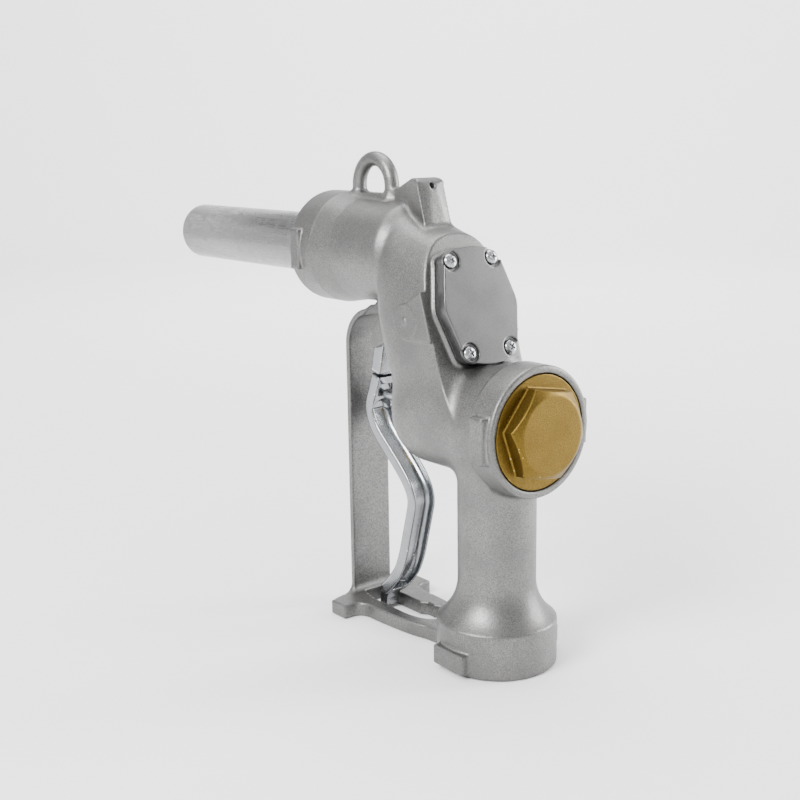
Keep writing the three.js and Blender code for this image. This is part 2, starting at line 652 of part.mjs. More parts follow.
// Hollow plunger with a rear collar for its spring, side holes for the balls and a flat tongue.
function tripPlunger() {
  const tube = onPlunger(turned([
    [2.9, 21], [8, 21], [8, 23], [6.4, 23], [6.4, 80.8], [0, 80.8], [0, 56], [2.9, 56], [2.9, 21]], 24));
  const tongue = solid(new THREE.BoxGeometry(7.4, 11.5, 9).rotateX(-COVER_TILT)
    .translate(0, plungerPoint(85.7).y, plungerPoint(85.7).z));
  const ball = plungerPoint(LATCH_T);
  const end = plungerPoint(LINK_PIN_T);
  return cut(join(tube, tongue),
    crossRod(ball.y, ball.z, 2.7, -9, 9, 16), crossRod(end.y, end.z, 2.3, -9, 9, 14));
}

// The groove inside ends in a cone that pushes the balls inwards as the plunger gives way.
function plungerSleeve() {
  return onPlunger(turned([
    [6.7, 38], [8.8, 38], [8.8, 79.6], [6.7, 79.6], [6.7, 75], [7.95, 75], [7.95, 72.6], [6.7, 72.6],
    [6.7, 53.4], [7.9, 47.4], [7.9, 41], [6.7, 41], [6.7, 38]], 24));
}

function latchBall(side) {
  const { y, z } = plungerPoint(LATCH_T);
  return solid(new THREE.SphereGeometry(2.4, 10, 6).translate(side * 5.15, y, z));
}

const LINK_PIN_T = 88.3; // depth of the pin that joins link and plunger

// The link: a flat block on the plunger's end, slotted above for the plunger and below for the lever.
function tripLink() {
  const side = shapeOf([
    [97.6, 154.2], [105.2, 156.1], [101.4, 171], [99.6, 182], [97.4, 185.2], [93, 185.2], [90.6, 181],
    [91.4, 176], [93.6, 168], [96.1, 156.4]]);
  const block = sideProfile(side, LEVER_W);
  const above = box(-4.1, 4.1, 84, 110, 169.5, 190);
  const below = box(-3.9, 3.9, 97.3, 112, 150, 165);
  const end = plungerPoint(LINK_PIN_T);
  return cut(block, above, below,
    crossRod(end.y, end.z, 2.3, -6.5, 9), crossRod(PIVOT.y, PIVOT.z, 2.3, -6.5, 9));
}

for (const [index, place] of screwPlaces.entries()) {
  add('cover_screw_' + (index + 1), coverScrew(place), 'zinc');
}
add('diaphragm_cover', diaphragmCover(), 'coverPlate');
add('diaphragm', diaphragm(), 'rubber');
add('diaphragm_plate_outer', onPlunger(turned(ringProfile(2.9, 10.6, 9.4, 10.9), 24)), 'steel');
add('diaphragm_plate_inner', onPlunger(turned(ringProfile(2.9, 10.6, 12.7, 14.4), 24)), 'steel');
add('diaphragm_spring', onPlunger(coil(7.5, 0.6, 2.6, 9.2, 3)), 'steel');
add('latch_pin', latchPin(), 'steel');
add('latch_ball_left', latchBall(-1), 'steel');
add('latch_ball_right', latchBall(1), 'steel');
add('trip_plunger', tripPlunger(), 'steel');
add('plunger_sleeve', plungerSleeve(), 'brass');
add('plunger_seal', onPlunger(oRing(7.2, 0.55, 73.8)), 'rubber');
add('plunger_spring', onPlunger(coil(7.5, 0.65, 23.2, 37.8, 5)), 'steel');
add('trip_link', tripLink(), 'lever');
const linkPinAt = plungerPoint(LINK_PIN_T);
add('link_pin', crossRod(linkPinAt.y, linkPinAt.z, 2, -6.2, 8.2, 14), 'steel');

// ---- Lever ----

// Middle line of the lever seen from the side, from its head down to its tip.
const LEVER_LINE = [
  [100.8, 153.4], [104.4, 144], [108.4, 134], [107.4, 127], [101.5, 117.8], [90, 107.5], [78.5, 97.2],
  [70.5, 88], [67.6, 79.5], [69.3, 70], [73.3, 55.5], [77.2, 42], [82.5, 30.5], [90.6, 21], [97, 15]];
const LEVER_DEPTH = { front: 4, rear: 3.6 };

function leverLine() {
  return new THREE.SplineCurve(LEVER_LINE.map(([y, z]) => new THREE.Vector2(y, z)));
}

// A band along the middle line between two offsets, positive towards the guard.
function leverBand(rear, front, from, to) {
  const line = leverLine();
  const steps = Math.round(44 * (to - from));
  const side = (offset) => Array.from({ length: steps + 1 }, (unused, step) => {
    const t = from + (to - from) * step / steps;
    const along = line.getTangentAt(t);
    const at = line.getPointAt(t);
    return [at.x - along.y * offset, at.y + along.x * offset];
  });
  return shapeOf([...side(front), ...side(rear).reverse()]);
}

function lever() {
  const blade = sideProfile(leverBand(-LEVER_DEPTH.rear, LEVER_DEPTH.front, 0, 1), LEVER_W);
  const tip = sideProfile(shapeOf([
    [94.5, 14], [97.6, 8], [98, 3.2], [105, 3.2], [105, 9], [101.5, 15.5]]), 5);
  const web = LEVER_DEPTH.front - 2.2;
  const troughW = LEVER_W - 2.3;
  const roundEnd = turned(rodProfile(troughW, 95, 109.4), 20).translate(0, 0, 130.5);
  const trough = join(
    sideProfile(leverBand(-LEVER_DEPTH.rear - 3, web, 0.16, 0.965), troughW), solid(roundEnd));
  const tongue = join(
    crossRod(PIVOT.y, PIVOT.z, 3.5, -3.6, 3.6, 20),
    sideProfile(shapeOf([[99.8, 150], [104.4, 150], [104, 158], [99.8, 158]]), 3.6));
  const stemPocket = box(-5.4, 5.4, 90, 103.3, 135.4, 147.2);
  const pivotHole = crossRod(PIVOT.y, PIVOT.z, 2.3, -6, 6);
  const headTop = sideProfile(shapeOf([[85, 149.7], [115, 157.4], [115, 175], [85, 175]]), 12);
  return cut(join(cut(blade, headTop, trough), tip, tongue), stemPocket, pivotHole);
}

add('lever', lever(), 'lever');
add('lever_pivot_pin', crossRod(PIVOT.y, PIVOT.z, 2, -6.2, 8.2, 14), 'steel');

// ---- Plug in the venturi's test port ----

function finPlug() {
  return onPort(turned(rodProfile(1.6, 4, 12), 12));
}

add('fin_plug', finPlug(), 'steel');

export default nozzle;
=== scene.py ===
"""Automatic shut-off fuel nozzle: its looks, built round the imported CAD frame.

The bigger pieces are made as distance fields. A field holds, at every point of a fine grid, how far
that point is from the surface, and is negative inside. Two fields join with a fillet as wide as is
asked for, which gives the soft corners of a sand casting. Fields are in millimetres; meshes are in
metres, in the row frame.
"""

import json
import math

import bpy
import numpy as np
import openvdb
from mathutils import Matrix, Vector


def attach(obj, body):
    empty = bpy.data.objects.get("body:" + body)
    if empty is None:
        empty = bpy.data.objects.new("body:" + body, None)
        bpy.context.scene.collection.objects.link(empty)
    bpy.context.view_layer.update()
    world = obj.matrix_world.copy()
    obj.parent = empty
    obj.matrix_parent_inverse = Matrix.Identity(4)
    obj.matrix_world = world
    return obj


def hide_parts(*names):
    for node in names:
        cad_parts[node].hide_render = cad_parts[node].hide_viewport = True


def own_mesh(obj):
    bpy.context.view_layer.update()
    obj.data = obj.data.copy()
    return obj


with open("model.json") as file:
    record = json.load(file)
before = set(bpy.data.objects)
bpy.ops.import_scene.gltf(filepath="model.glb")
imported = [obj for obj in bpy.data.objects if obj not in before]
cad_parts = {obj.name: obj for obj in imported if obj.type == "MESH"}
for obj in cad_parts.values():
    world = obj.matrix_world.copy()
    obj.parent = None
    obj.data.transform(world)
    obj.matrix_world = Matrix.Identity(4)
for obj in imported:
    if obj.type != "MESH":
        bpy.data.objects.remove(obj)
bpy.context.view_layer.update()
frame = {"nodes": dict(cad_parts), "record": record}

MM = 0.001

# ---- Driving dimensions, in millimetres, as in the CAD ----

HANDLE_R = 22.5
COLLAR_R = 34.65
COLLAR_TOP = 25
FLARE_TOP = 50
VALVE_Z = 140.7
BARREL_R = 32.5
RIM_R = 36.7
RIM_REAR = -34.4
RIM_STEP = -15.8
BARREL_FRONT = 67
SPOUT_Z = 229.8
SPOUT_R = 19
SPOUT_END = 316.8
NECK_R = 34.4
NECK_FRONT = 153.1
COVER_TILT = math.radians(17.8)
COVER_Y = 12.05
COVER_Z = 205.6
# Depths below the cover's face: the face itself, the screws' seats, the cover's underside, the
# body's flange, and the rear of the body beside the flange.
COVER_FACE = 0.2
SEAT = 2
COVER_UNDER = 7
FLANGE_DEPTH = 8.7
TRUNK_DEPTH = 11
SCREW_X = 15.2
SCREW_UP = 25.9
SCREW_PLACES = [(side * SCREW_X, level * SCREW_UP) for side in (-1, 1) for level in (1, -1)]
BOSS_Y = 39.5
BOSS_Z = 196.3
BOSS_R = 10.2
STEM_R = 3.5
LEVER_HALF = 8.5
PIVOT_Y = 101
PIVOT_Z = 160.6
LINK_PIN_DEPTH = 88.3


# ---- Distance fields ----


class Space:
    """The points of a box, one step apart, that a field is worked out on."""

    def __init__(self, low, high, step):
        self.low = np.array(low, np.float32) - 2 * step
        self.step = step
        rows = [np.arange(a, b + 2 * step, step, dtype=np.float32) for a, b in zip(self.low, high)]
        self.x = rows[0].reshape(-1, 1, 1)
        self.y = rows[1].reshape(1, -1, 1)
        self.z = rows[2].reshape(1, 1, -1)


class Outline:
    """A closed outline's signed distance, tabulated once and then read between the table's points."""

    SPACING = 0.4
    MARGIN = 14

    def __init__(self, points):
        corners = np.array(points, float)
        self.low = corners.min(0) - self.MARGIN
        size = np.ceil((corners.max(0) + self.MARGIN - self.low) / self.SPACING).astype(int) + 1
        u = self.low[0] + self.SPACING * np.arange(size[0])[:, None]
        v = self.low[1] + self.SPACING * np.arange(size[1])[None, :]
        nearest = np.full(size, 1e12)
        inside = np.zeros(size, bool)
        for (au, av), (bu, bv) in zip(corners, np.roll(corners, -1, 0)):
            du, dv = bu - au, bv - av
            length = du * du + dv * dv
            if length < 1e-12:
                continue
            along = np.clip(((u - au) * du + (v - av) * dv) / length, 0, 1)
            nearest = np.minimum(nearest, (u - au - along * du) ** 2 + (v - av - along * dv) ** 2)
            if abs(dv) > 1e-9:
                inside ^= ((av > v) != (bv > v)) & (u < au + (v - av) * du / dv)
        self.table = (np.where(inside, -1, 1) * np.sqrt(nearest)).astype(np.float32)

    def at(self, u, v):
        shape = self.table.shape
        i = np.clip((u - self.low[0]) / self.SPACING, 0, shape[0] - 1.001).astype(np.float32)
        j = np.clip((v - self.low[1]) / self.SPACING, 0, shape[1] - 1.001).astype(np.float32)
        i0, j0 = i.astype(np.int32), j.astype(np.int32)
        i1, j1 = i - i0, j - j0
        flat = self.table.ravel()
        corner = i0 * shape[1] + j0
        near = flat[corner] * (1 - j1) + flat[corner + 1] * j1
        far = flat[corner + shape[1]] * (1 - j1) + flat[corner + shape[1] + 1] * j1
        return near * (1 - i1) + far * i1


def turned(profile, radius, height):
    """A solid of revolution. The profile of (radius, height) points starts and ends on the axis."""
    mirrored = [(-r, h) for r, h in reversed(profile)]
    return Outline(list(profile) + mirrored).at(radius, height)


def join(first, second, fillet=0.6):
    """Both solids as one, with a fillet where they meet."""
    blend = np.maximum(fillet - np.abs(first - second), 0)
    return np.minimum(first, second) - blend * blend / (4 * fillet)


def carve(solid, tool, edge=0.6):
    """Takes the tool away from the solid, and rounds the edge it leaves."""
    return -join(-solid, tool, edge)


def common(first, second, edge=0.6):
    """What two solids share, with its new edges rounded."""
    return -join(-first, -second, edge)


def slab(value, low, high):
    return np.maximum(low - value, value - high)


def block(space, x, y, z, edge=0.6):
    """A box given by its low and high x, y and z, with rounded edges."""
    sides = [slab(space.x, *x) + edge, slab(space.y, *y) + edge, slab(space.z, *z) + edge]
    outside = sum(np.maximum(side, 0) ** 2 for side in sides)
    inside = np.maximum(np.maximum(sides[0], sides[1]), sides[2])
    return np.sqrt(outside) + np.minimum(inside, 0) - edge


def extruded(flat, across, half, edge=0.6):
    """A flat field made 2 * half thick about across = 0, with rounded edges."""
    side = np.abs(across) - half + edge
    flat = flat + edge
    inside = np.minimum(np.maximum(flat, side), 0)
    return np.hypot(np.maximum(flat, 0), np.maximum(side, 0)) + inside - edge


def rod(radius, height, r, low, high, edge=0.4):
    return extruded(radius - r, height - (low + high) / 2, (high - low) / 2, edge)


def arc(centre, r, start, end, steps=16):
    """Points of a circular arc, from one angle to another in degrees."""
    angles = np.radians(np.linspace(start, end, steps + 1))
    return [(centre[0] + r * math.cos(a), centre[1] + r * math.sin(a)) for a in angles]


def bow(start, control, end, steps=10):
    """Points of a quadratic curve, without its start."""
    made = []
    for t in np.linspace(0, 1, steps + 1)[1:]:
        a, b, c = (1 - t) ** 2, 2 * t * (1 - t), t * t
        made.append(tuple(a * p + b * q + c * r for p, q, r in zip(start, control, end)))
    return made


def curve_through(points, steps=6):
    """A smooth line through every point."""
    p = np.array([points[0], *points, points[-1]], float)
    made = []
    for i in range(1, len(p) - 2):
        for t in np.arange(steps) / steps:
            made.append(0.5 * (
                2 * p[i] + (p[i + 1] - p[i - 1]) * t
                + (2 * p[i - 1] - 5 * p[i] + 4 * p[i + 1] - p[i + 2]) * t ** 2
                + (3 * p[i] - p[i - 1] - 3 * p[i + 1] + p[i + 2]) * t ** 3))
    return np.array([*made, p[-2]])


def on_cover(space):
    """Height up the cover, and depth along the trip plunger's axis, of every point."""
    y, z = space.y - COVER_Y, space.z - COVER_Z
    up = y * math.sin(COVER_TILT) + z * math.cos(COVER_TILT)
    depth = y * math.cos(COVER_TILT) - z * math.sin(COVER_TILT)
    return up, depth


COVER_PLACE = Matrix.Translation((0, COVER_Y * MM, COVER_Z * MM)) @ Matrix.Rotation(-COVER_TILT, 4, "X")


def plunger_point(depth):
    return COVER_Y + depth * math.cos(COVER_TILT), COVER_Z - depth * math.sin(COVER_TILT)


# ---- Pieces ----


def link_mesh(name, data, material):
    data.materials.append(material)
    piece = bpy.data.objects.new(name, data)
    bpy.context.scene.collection.objects.link(piece)
    return piece


def piece_of(name, space, field, material, place=None):
    """The surface where a field is zero, as a smooth mesh."""
    reach = 3 * space.step
    grid = openvdb.FloatGrid(reach)
    grid.copyFromArray(np.clip(field, -reach, reach).astype(np.float32))
    points, quads = grid.convertToQuads(isovalue=0.0)
    points = (points * space.step + space.low) * MM
    data = bpy.data.meshes.new(name)
    data.from_pydata(points.tolist(), [], quads[:, ::-1].tolist())
    if place is not None:
        data.transform(place)
    data.shade_smooth()
    return link_mesh(name, data, material)


def turned_piece(name, profile, material, place, sides=96):
    """A closed profile of (radius, height) points in millimetres, turned about its local Y axis."""
    angles = 2 * np.pi * np.arange(sides) / sides
    points = [(r * math.cos(a) * MM, h * MM, r * math.sin(a) * MM) for r, h in profile for a in angles]
    faces = []
    for row in range(len(profile)):
        following = (row + 1) % len(profile)
        for side in range(sides):
            beside = (side + 1) % sides
            faces.append([row * sides + side, following * sides + side,
                          following * sides + beside, row * sides + beside])
    data = bpy.data.meshes.new(name)
    data.from_pydata(points, [], faces)
    data.transform(place)
    data.validate()
    data.shade_smooth()
    piece = link_mesh(name, data, material)
    weld = piece.modifiers.new("weld", "WELD")
    weld.merge_threshold = 0.000001
    crease = piece.modifiers.new("edges", "EDGE_SPLIT")
    crease.split_angle = math.radians(35)
    return piece


ON_VALVE = Matrix.Translation((0, 0, VALVE_Z * MM))
ON_SPOUT = Matrix.Translation((0, 0, SPOUT_Z * MM))


def across(y, z):
    """Lays a turned piece's axis along X, through (y, z)."""
    return Matrix.Translation((0, y * MM, z * MM)) @ Matrix.Rotation(-math.pi / 2, 4, "Z")


def stands_for(piece, body, slot, *nodes):
    """Puts a piece on its body, in place of the CAD nodes that it shows. The slot is not used."""
    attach(piece, body)
    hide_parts(*nodes)


# ---- Materials ----


class Nodes:
    """Makes the nodes of one material and joins them."""

    def __init__(self, name):
        self.material = bpy.data.materials.new(name)
        self.material.use_nodes = True
        self.tree = self.material.node_tree
        self.shader = self.tree.nodes["Principled BSDF"]
        self.place = self.add("ShaderNodeTexCoord").outputs["Object"]

    def add(self, kind, **settings):
        node = self.tree.nodes.new(kind)
        for name, value in settings.items():
            setattr(node, name, value)
        return node

    def link(self, source, target):
        self.tree.links.new(source, target)

    def stretched(self, factors):
        """Object coordinates scaled by a factor along each axis."""
        node = self.add("ShaderNodeMapping")
        node.inputs["Scale"].default_value = factors
        self.link(self.place, node.inputs["Vector"])
        return node.outputs["Vector"]

    def noise(self, scale, detail=4, roughness=0.5, vector=None):
        node = self.add("ShaderNodeTexNoise")
        node.inputs["Scale"].default_value = scale
        node.inputs["Detail"].default_value = detail
        node.inputs["Roughness"].default_value = roughness
        self.link(self.place if vector is None else vector, node.inputs["Vector"])
        return node.outputs["Fac"]

    def between(self, value, from_low, from_high, low=0.0, high=1.0):
        node = self.add("ShaderNodeMapRange", interpolation_type="SMOOTHSTEP")
        node.inputs["From Min"].default_value = from_low
        node.inputs["From Max"].default_value = from_high
        node.inputs["To Min"].default_value = low
        node.inputs["To Max"].default_value = high
        self.link(value, node.inputs["Value"])
        return node.outputs["Result"]

    def mixed(self, share, first, second):
        """A colour between two others, each a colour or a socket."""
        node = self.add("ShaderNodeMix", data_type="RGBA")
        self.link(share, node.inputs[0])
        for socket, colour in ((node.inputs[6], first), (node.inputs[7], second)):
            if isinstance(colour, tuple):
                socket.default_value = (*colour, 1)
            else:
                self.link(colour, socket)
        return node.outputs[2]

    def sum(self, first, second, operation="ADD"):
        node = self.add("ShaderNodeMath", operation=operation)
        for socket, value in zip(node.inputs, (first, second)):
            if isinstance(value, (int, float)):
                socket.default_value = value
            else:
                self.link(value, socket)
        return node.outputs[0]

    def bump(self, height, depth, below=None):
        """Raises the surface by height, as deep as depth metres, on top of another bump."""
        node = self.add("ShaderNodeBump")
        node.inputs["Distance"].default_value = depth
        self.link(height, node.inputs["Height"])
        if below is not None:
            self.link(below, node.inputs["Normal"])
        return node.outputs["Normal"]

    def edges(self, low, high):
        """1 on outward edges of a fine mesh, 0 on flat and inward ones."""
        return self.between(self.add("ShaderNodeNewGeometry").outputs["Pointiness"], low, high)

    def finish(self, colour, roughness, normal=None, metallic=1.0):
        self.shader.inputs["Metallic"].default_value = metallic
        self.link(colour, self.shader.inputs["Base Color"])
        self.link(roughness, self.shader.inputs["Roughness"])
        if normal is not None:
            self.link(normal, self.shader.inputs["Normal"])
        return self.material


def blasted(name, light, dark, rough, grain, edge_highlight, grain_depth=0.00006, speck=0.70):
    """Blasted cast metal: fine grain with specks, cloudy tone, a painted highlight on outward edges,
    which are also made glossier, and painted shade in hollows.
    """
    n = Nodes(name)
    clouds = n.between(n.noise(38, 5, 0.6), 0.35, 0.65)
    specks = n.between(n.noise(grain, 3, 0.75), 0.40, 0.58)
    tone = n.mixed(clouds, dark, light)
    speckled = n.mixed(specks, tuple(speck * c for c in dark), tone)
    # Painted highlight: outward edges are coloured brighter; the same mask also lowers their roughness.
    edge_highlight_and_gloss = n.edges(0.515, 0.60)
    # Painted shade: hollows, where pointiness is low, are coloured darker.
    hollow = n.between(n.add("ShaderNodeNewGeometry").outputs["Pointiness"], 0.42, 0.478)
    shaded = n.mixed(hollow, tuple(0.65 * c for c in dark), speckled)
    colour = n.mixed(edge_highlight_and_gloss, shaded, edge_highlight)
    cloudy = n.between(clouds, 0, 1, rough + 0.02, rough - 0.02)
    roughness = n.sum(cloudy, n.sum(edge_highlight_and_gloss, 0.16, "MULTIPLY"), "SUBTRACT")
    coarse = n.bump(n.noise(grain * 0.28, 3, 0.55), grain_depth * 2.2)
    fine = n.bump(n.noise(grain, 3, 0.6), grain_depth, coarse)
    return n.finish(colour, roughness, fine)


def satin(name, light, dark, rough, stretch, streaks=900):
    """Machined or drawn metal with fine lines along the axis that is stretched least."""
    n = Nodes(name)
    lines = n.noise(streaks, 3, 0.6, n.stretched(stretch))
    clouds = n.noise(30, 4, 0.6)
    tone = n.mixed(n.between(clouds, 0.35, 0.65), dark, light)
    colour = n.mixed(n.between(lines, 0.2, 0.75), tuple(0.9 * c for c in dark), tone)
    scuffs = n.between(n.noise(160, 5, 0.7), 0.45, 0.7, 0, 0.10)
    roughness = n.sum(n.between(lines, 0.3, 0.7, rough - 0.05, rough + 0.06), scuffs)
    return n.finish(colour, roughness, n.bump(lines, 0.000008))


def rubber():
    n = Nodes("rubber")
    grain = n.noise(900, 3, 0.6)
    colour = n.mixed(grain, (0.012, 0.012, 0.012), (0.03, 0.03, 0.03))
    return n.finish(colour, n.between(grain, 0.3, 0.7, 0.62, 0.8), n.bump(grain, 0.00002), 0.0)


# The last colour given to each blasted metal is its painted highlight on outward edges.
CASTING = blasted("cast_aluminium", (0.225, 0.223, 0.218), (0.175, 0.173, 0.17), 0.44, 1500,
                  (0.48, 0.475, 0.465))
COVER = blasted("cover_aluminium", (0.16, 0.16, 0.159), (0.152, 0.152, 0.151), 0.30, 1500,
                (0.48, 0.48, 0.475), 0.00001, 0.85)
BRASS_CAP = blasted("blasted_brass", (0.185, 0.120, 0.026), (0.15, 0.095, 0.018), 0.42, 1700,
                    (0.40, 0.28, 0.09), 0.00004)
LEVER = blasted("tumbled_aluminium", (0.33, 0.34, 0.355), (0.26, 0.27, 0.283), 0.25, 1300,
                (0.70, 0.71, 0.73), 0.00002, 0.92)
SPOUT = satin("drawn_aluminium", (0.24, 0.24, 0.244), (0.22, 0.22, 0.224), 0.27, (1, 0.02, 1))
BRASS = satin("machined_brass", (0.66, 0.50, 0.22), (0.55, 0.41, 0.17), 0.30, (1, 0.1, 1))
ZINC = satin("zinc_plate", (0.46, 0.47, 0.48), (0.36, 0.37, 0.385), 0.20, (1, 1, 1))
STEEL = satin("ground_steel", (0.52, 0.53, 0.55), (0.42, 0.43, 0.45), 0.28, (1, 0.15, 1))
RUBBER = rubber()


# ---- Casting: body, lever guard and hanging loop ----


def cover_outline(grow=0.0):
    """The rear cover in (x, up): bowed top and bottom, straight sides, a soft waist, round corners."""
    top = (15.5 + grow, 30.8 + grow)
    shoulder = (20.6 + grow, 25.5)
    hip = (20.4 + grow, -25.6)
    foot = (14.5 + grow, -31.4 - grow)
    waist = (25.8 + grow, 5)
    right = [foot]
    right += bow(foot, (hip[0] - 1, foot[1] + 1), hip)
    right += [(waist[0], -waist[1])]
    right += bow(right[-1], (27.4 + grow, 0), waist)
    right += [shoulder]
    right += bow(shoulder, (shoulder[0], top[1] - 1), top)
    over = bow(top, (0, top[1] + 4.6), (-top[0], top[1]), 16)
    under = bow((-foot[0], foot[1]), (0, foot[1] - 4.6), foot, 16)
    left = [(-u, v) for u, v in reversed(right)]
    return right + over[:-1] + left + under[:-1]


def handle_profile():
    flare_r = FLARE_TOP - COLLAR_TOP + 4
    flare = [(HANDLE_R + flare_r - math.sqrt(flare_r ** 2 - (FLARE_TOP - z) ** 2), z)
             for z in np.linspace(COLLAR_TOP + 1.5, FLARE_TOP, 14)]
    return [(0, 0), (COLLAR_R - 1.2, 0), (COLLAR_R, 1.2), (COLLAR_R, COLLAR_TOP), *flare,
            (HANDLE_R, VALVE_Z), (0, VALVE_Z)]


def barrel_profile():
    nose = arc((BARREL_R - 20, BARREL_FRONT - 20), 20, 0, 90)
    return [(0, RIM_REAR), (RIM_R - 0.9, RIM_REAR), (RIM_R, RIM_REAR + 0.9), (RIM_R, RIM_STEP - 1),
            (RIM_R - 1, RIM_STEP), (BARREL_R, RIM_STEP + 2), *nose, (0, BARREL_FRONT)]


def neck_profile():
    heel = arc((21.6, 74.5), 8, -80, 0, 8)
    return [(0, 65.5), *heel, (31.4, 114), (34, 130), (NECK_R, 131.5), (NECK_R, NECK_FRONT - 1.2),
            (NECK_R - 1.2, NECK_FRONT), (0, NECK_FRONT)]


TRUNK_Y = [-4, 8, 20, 33, 46, 56, 64, 71, 77, 82, 86]
TRUNK_BOTTOM = [118, 118, 118, 120, 128, 138, 150, 166, 176, 184, 194]
TRUNK_CREST = [206, 225, 236, 242.5, 246, 249.5, 253, 256, 256, 254, 248]
TRUNK_HALF = [28, 31, 32, 32, 32, 31.5, 30.5, 28, 24, 18, 11]


def trunk_field(space):
    """Upright rounded slices along Y, each squarer than an ellipse."""
    def eased(values):
        return sum(np.interp(space.y + shift, TRUNK_Y, values) for shift in (-4, -2, 0, 2, 4)) / 5
    bottom, crest, half = eased(TRUNK_BOTTOM), eased(TRUNK_CREST), eased(TRUNK_HALF)
    squareness = 2.7
    across_share = (np.abs(space.x) / half) ** squareness
    up_share = (np.abs(space.z - (bottom + crest) / 2) / ((crest - bottom) / 2)) ** squareness
    share = ((across_share + up_share) ** (1 / squareness)).astype(np.float32)
    slope = np.sqrt(sum(part ** 2 for part in np.gradient(share, space.step)))
    field = (share - 1) / np.maximum(slope, 0.012)
    return common(field, slab(space.y, -4, 86), 4)


def fin_field(space):
    """The hollow upright block behind the loop, with a ridge that runs forward to the loop's foot."""
    rear, apex, half, top, base, lean = 55, 98, 10, 274.6, 246, 7
    shift = np.clip((top - 5 - space.z) / (top - 5 - base), 0, 1.2) * lean
    wedge = Outline([(0, apex), (-half, rear + 1), (0, rear - 2), (half, rear + 1)])
    plan = wedge.at(space.x, np.minimum(space.y + shift, apex + 20))
    side = Outline([(apex, base - 8), (apex, 262), (rear + 10, top - 1.5),
                    *bow((rear + 10, top - 1.5), (rear + 3, top + 0.6), (rear - 1, top - 5)),
                    (rear - lean, base), (rear - lean, base - 8)])
    return common(plan, side.at(space.y, space.z), 0.8)


def loop_field(space):
    """A round rod bent over the neck, and the low bar it stands on."""
    y, r, bend, foot, thick = 107.8, 16, 267.9, 252, 4.4
    to_arc = np.abs(np.hypot(space.y - y, space.z - bend) - r)
    to_leg = np.abs(np.abs(space.y - y) - r)
    flat = np.where(space.z > bend, to_arc, to_leg)
    bent = np.maximum(np.hypot(flat, space.x) - thick, foot - space.z)
    bar = block(space, (-thick, thick), (y - r - 2, y + r + thick), (foot, 263.8), 1.5)
    return join(bent, bar, 3)


def guard_field(space):
    """The strip in front of the lever and the slotted base with its T-shaped foot."""
    front, rear, bend, plate, bend_r, half = 122.4, 118.9, 171, 9, 24.4, 15
    middle = (front - bend_r, bend)
    thick = front - rear
    over = arc(middle, bend_r, 0, 80)
    under = arc(middle, bend_r - thick, 74, 0)
    side = Outline([(front, 2), *over, (95, 199), *under, (rear, plate), (rear, 2)])
    strip = extruded(side.at(space.y, space.z), space.x, half, 0.9)
    rail = 20.5
    right = [(half, front), (34.8, 116.8), (34.8, 102.2), (rail + 8, 102.2)]
    right += bow(right[-1], (rail + 2, 102.2), (rail + 1, 94.2))
    right += bow(right[-1], (rail + 0.5, 60), (16, 46)) + [(14, 28)]
    outline = Outline([*right, *[(-x, y) for x, y in reversed(right)]])
    base = extruded(outline.at(space.x, space.y), space.z - plate / 2, plate / 2, 0.9)
    slot = Outline([(-8.5, 116), (6.5, 116), (6.5, 77.5), (9.5, 74), (9.5, 67.5), (12, 64.5),
                    *bow((12, 64.5), (12, 49.5), (0, 49.5)), *bow((0, 49.5), (-11.5, 50), (-12, 74)),
                    (-12, 98)])
    slot_cut = np.maximum(slot.at(space.x, space.y), space.z - 26)
    return carve(join(strip, base, 5), slot_cut, 0.7)


def link_cheeks(space):
    """Cheeks in front of the plunger's exit that the link slides between."""
    side = Outline([(82, 178), (82, 187), (91, 191.5), (98.4, 183), (101, 171.1), (94.7, 171.6)])
    between = LEVER_HALF + 0.6
    cheeks = extruded(side.at(space.y, space.z), space.x, between + 3, 1)
    return carve(cheeks, block(space, (-between, between), (80, 120), (160, 187), 0.5), 0.5)


def passages(space):
    """The fuel's way through the casting, and the bores of the valve and the shut-off."""
    x, y, z = space.x, space.y, space.z
    from_handle = np.hypot(x, y)
    from_valve = np.hypot(x, z - VALVE_Z)
    from_spout = np.hypot(x, z - SPOUT_Z)
    up, depth = on_cover(space)
    from_plunger = np.hypot(x, up)
    inlet = turned([(0, -5), (22.5, -5), (22.5, 28), (17, 34), (17, 124.7), (0, 124.7)], from_handle, z)
    chamber = turned([(0, -50), (32.4, -50), (32.4, -29.9), (29.9, -29.9), (29.9, -20), (27, -18),
                      (27, 23.6), (19.6, 23.6), (19.6, 33.4), (26, 36), (26, 50), (22, 54), (0, 54)],
                     from_valve, y)
    gland = rod(from_valve, y, 8, 56, 80)
    stem_way = rod(from_valve, y, 4.1, 40, 60)
    neck = turned([(0, 57), (10, 57), (24, 79), (24, 111.4), (27, 111.4), (27, 170), (0, 170)],
                  from_spout, y)
    wide = np.interp(z, [150, 165, 205, 222, 232], [20, 22, 22, 18, 11]) / 11
    riser = np.maximum(np.hypot(x / wide, y - 50) - 11, slab(z, 150, 232))
    riser = np.maximum(riser, 12.5 - from_plunger)
    pocket = turned([(0, 5), (17.5, 5), (17.5, 19), (9.1, 19), (9.1, 95), (0, 95)], from_plunger, depth)
    return [inlet, chamber, gland, stem_way, neck, riser, pocket]


def small_holes(space):
    up, depth = on_cover(space)
    screws = [rod(np.hypot(space.x - x, up - v), depth, 2.3, 0, 18) for x, v in SCREW_PLACES]
    port_dip = 0.3
    y, z = space.y - 54, space.z - 269.6
    into = y * math.cos(port_dip) - z * math.sin(port_dip)
    off = y * math.sin(port_dip) + z * math.cos(port_dip)
    port = rod(np.hypot(space.x, off), into, 1.9, -4, 24)
    set_screw = rod(np.hypot(space.x, space.y - 141), space.z, 3.2, 185, 212)
    return [*screws, port, set_screw]


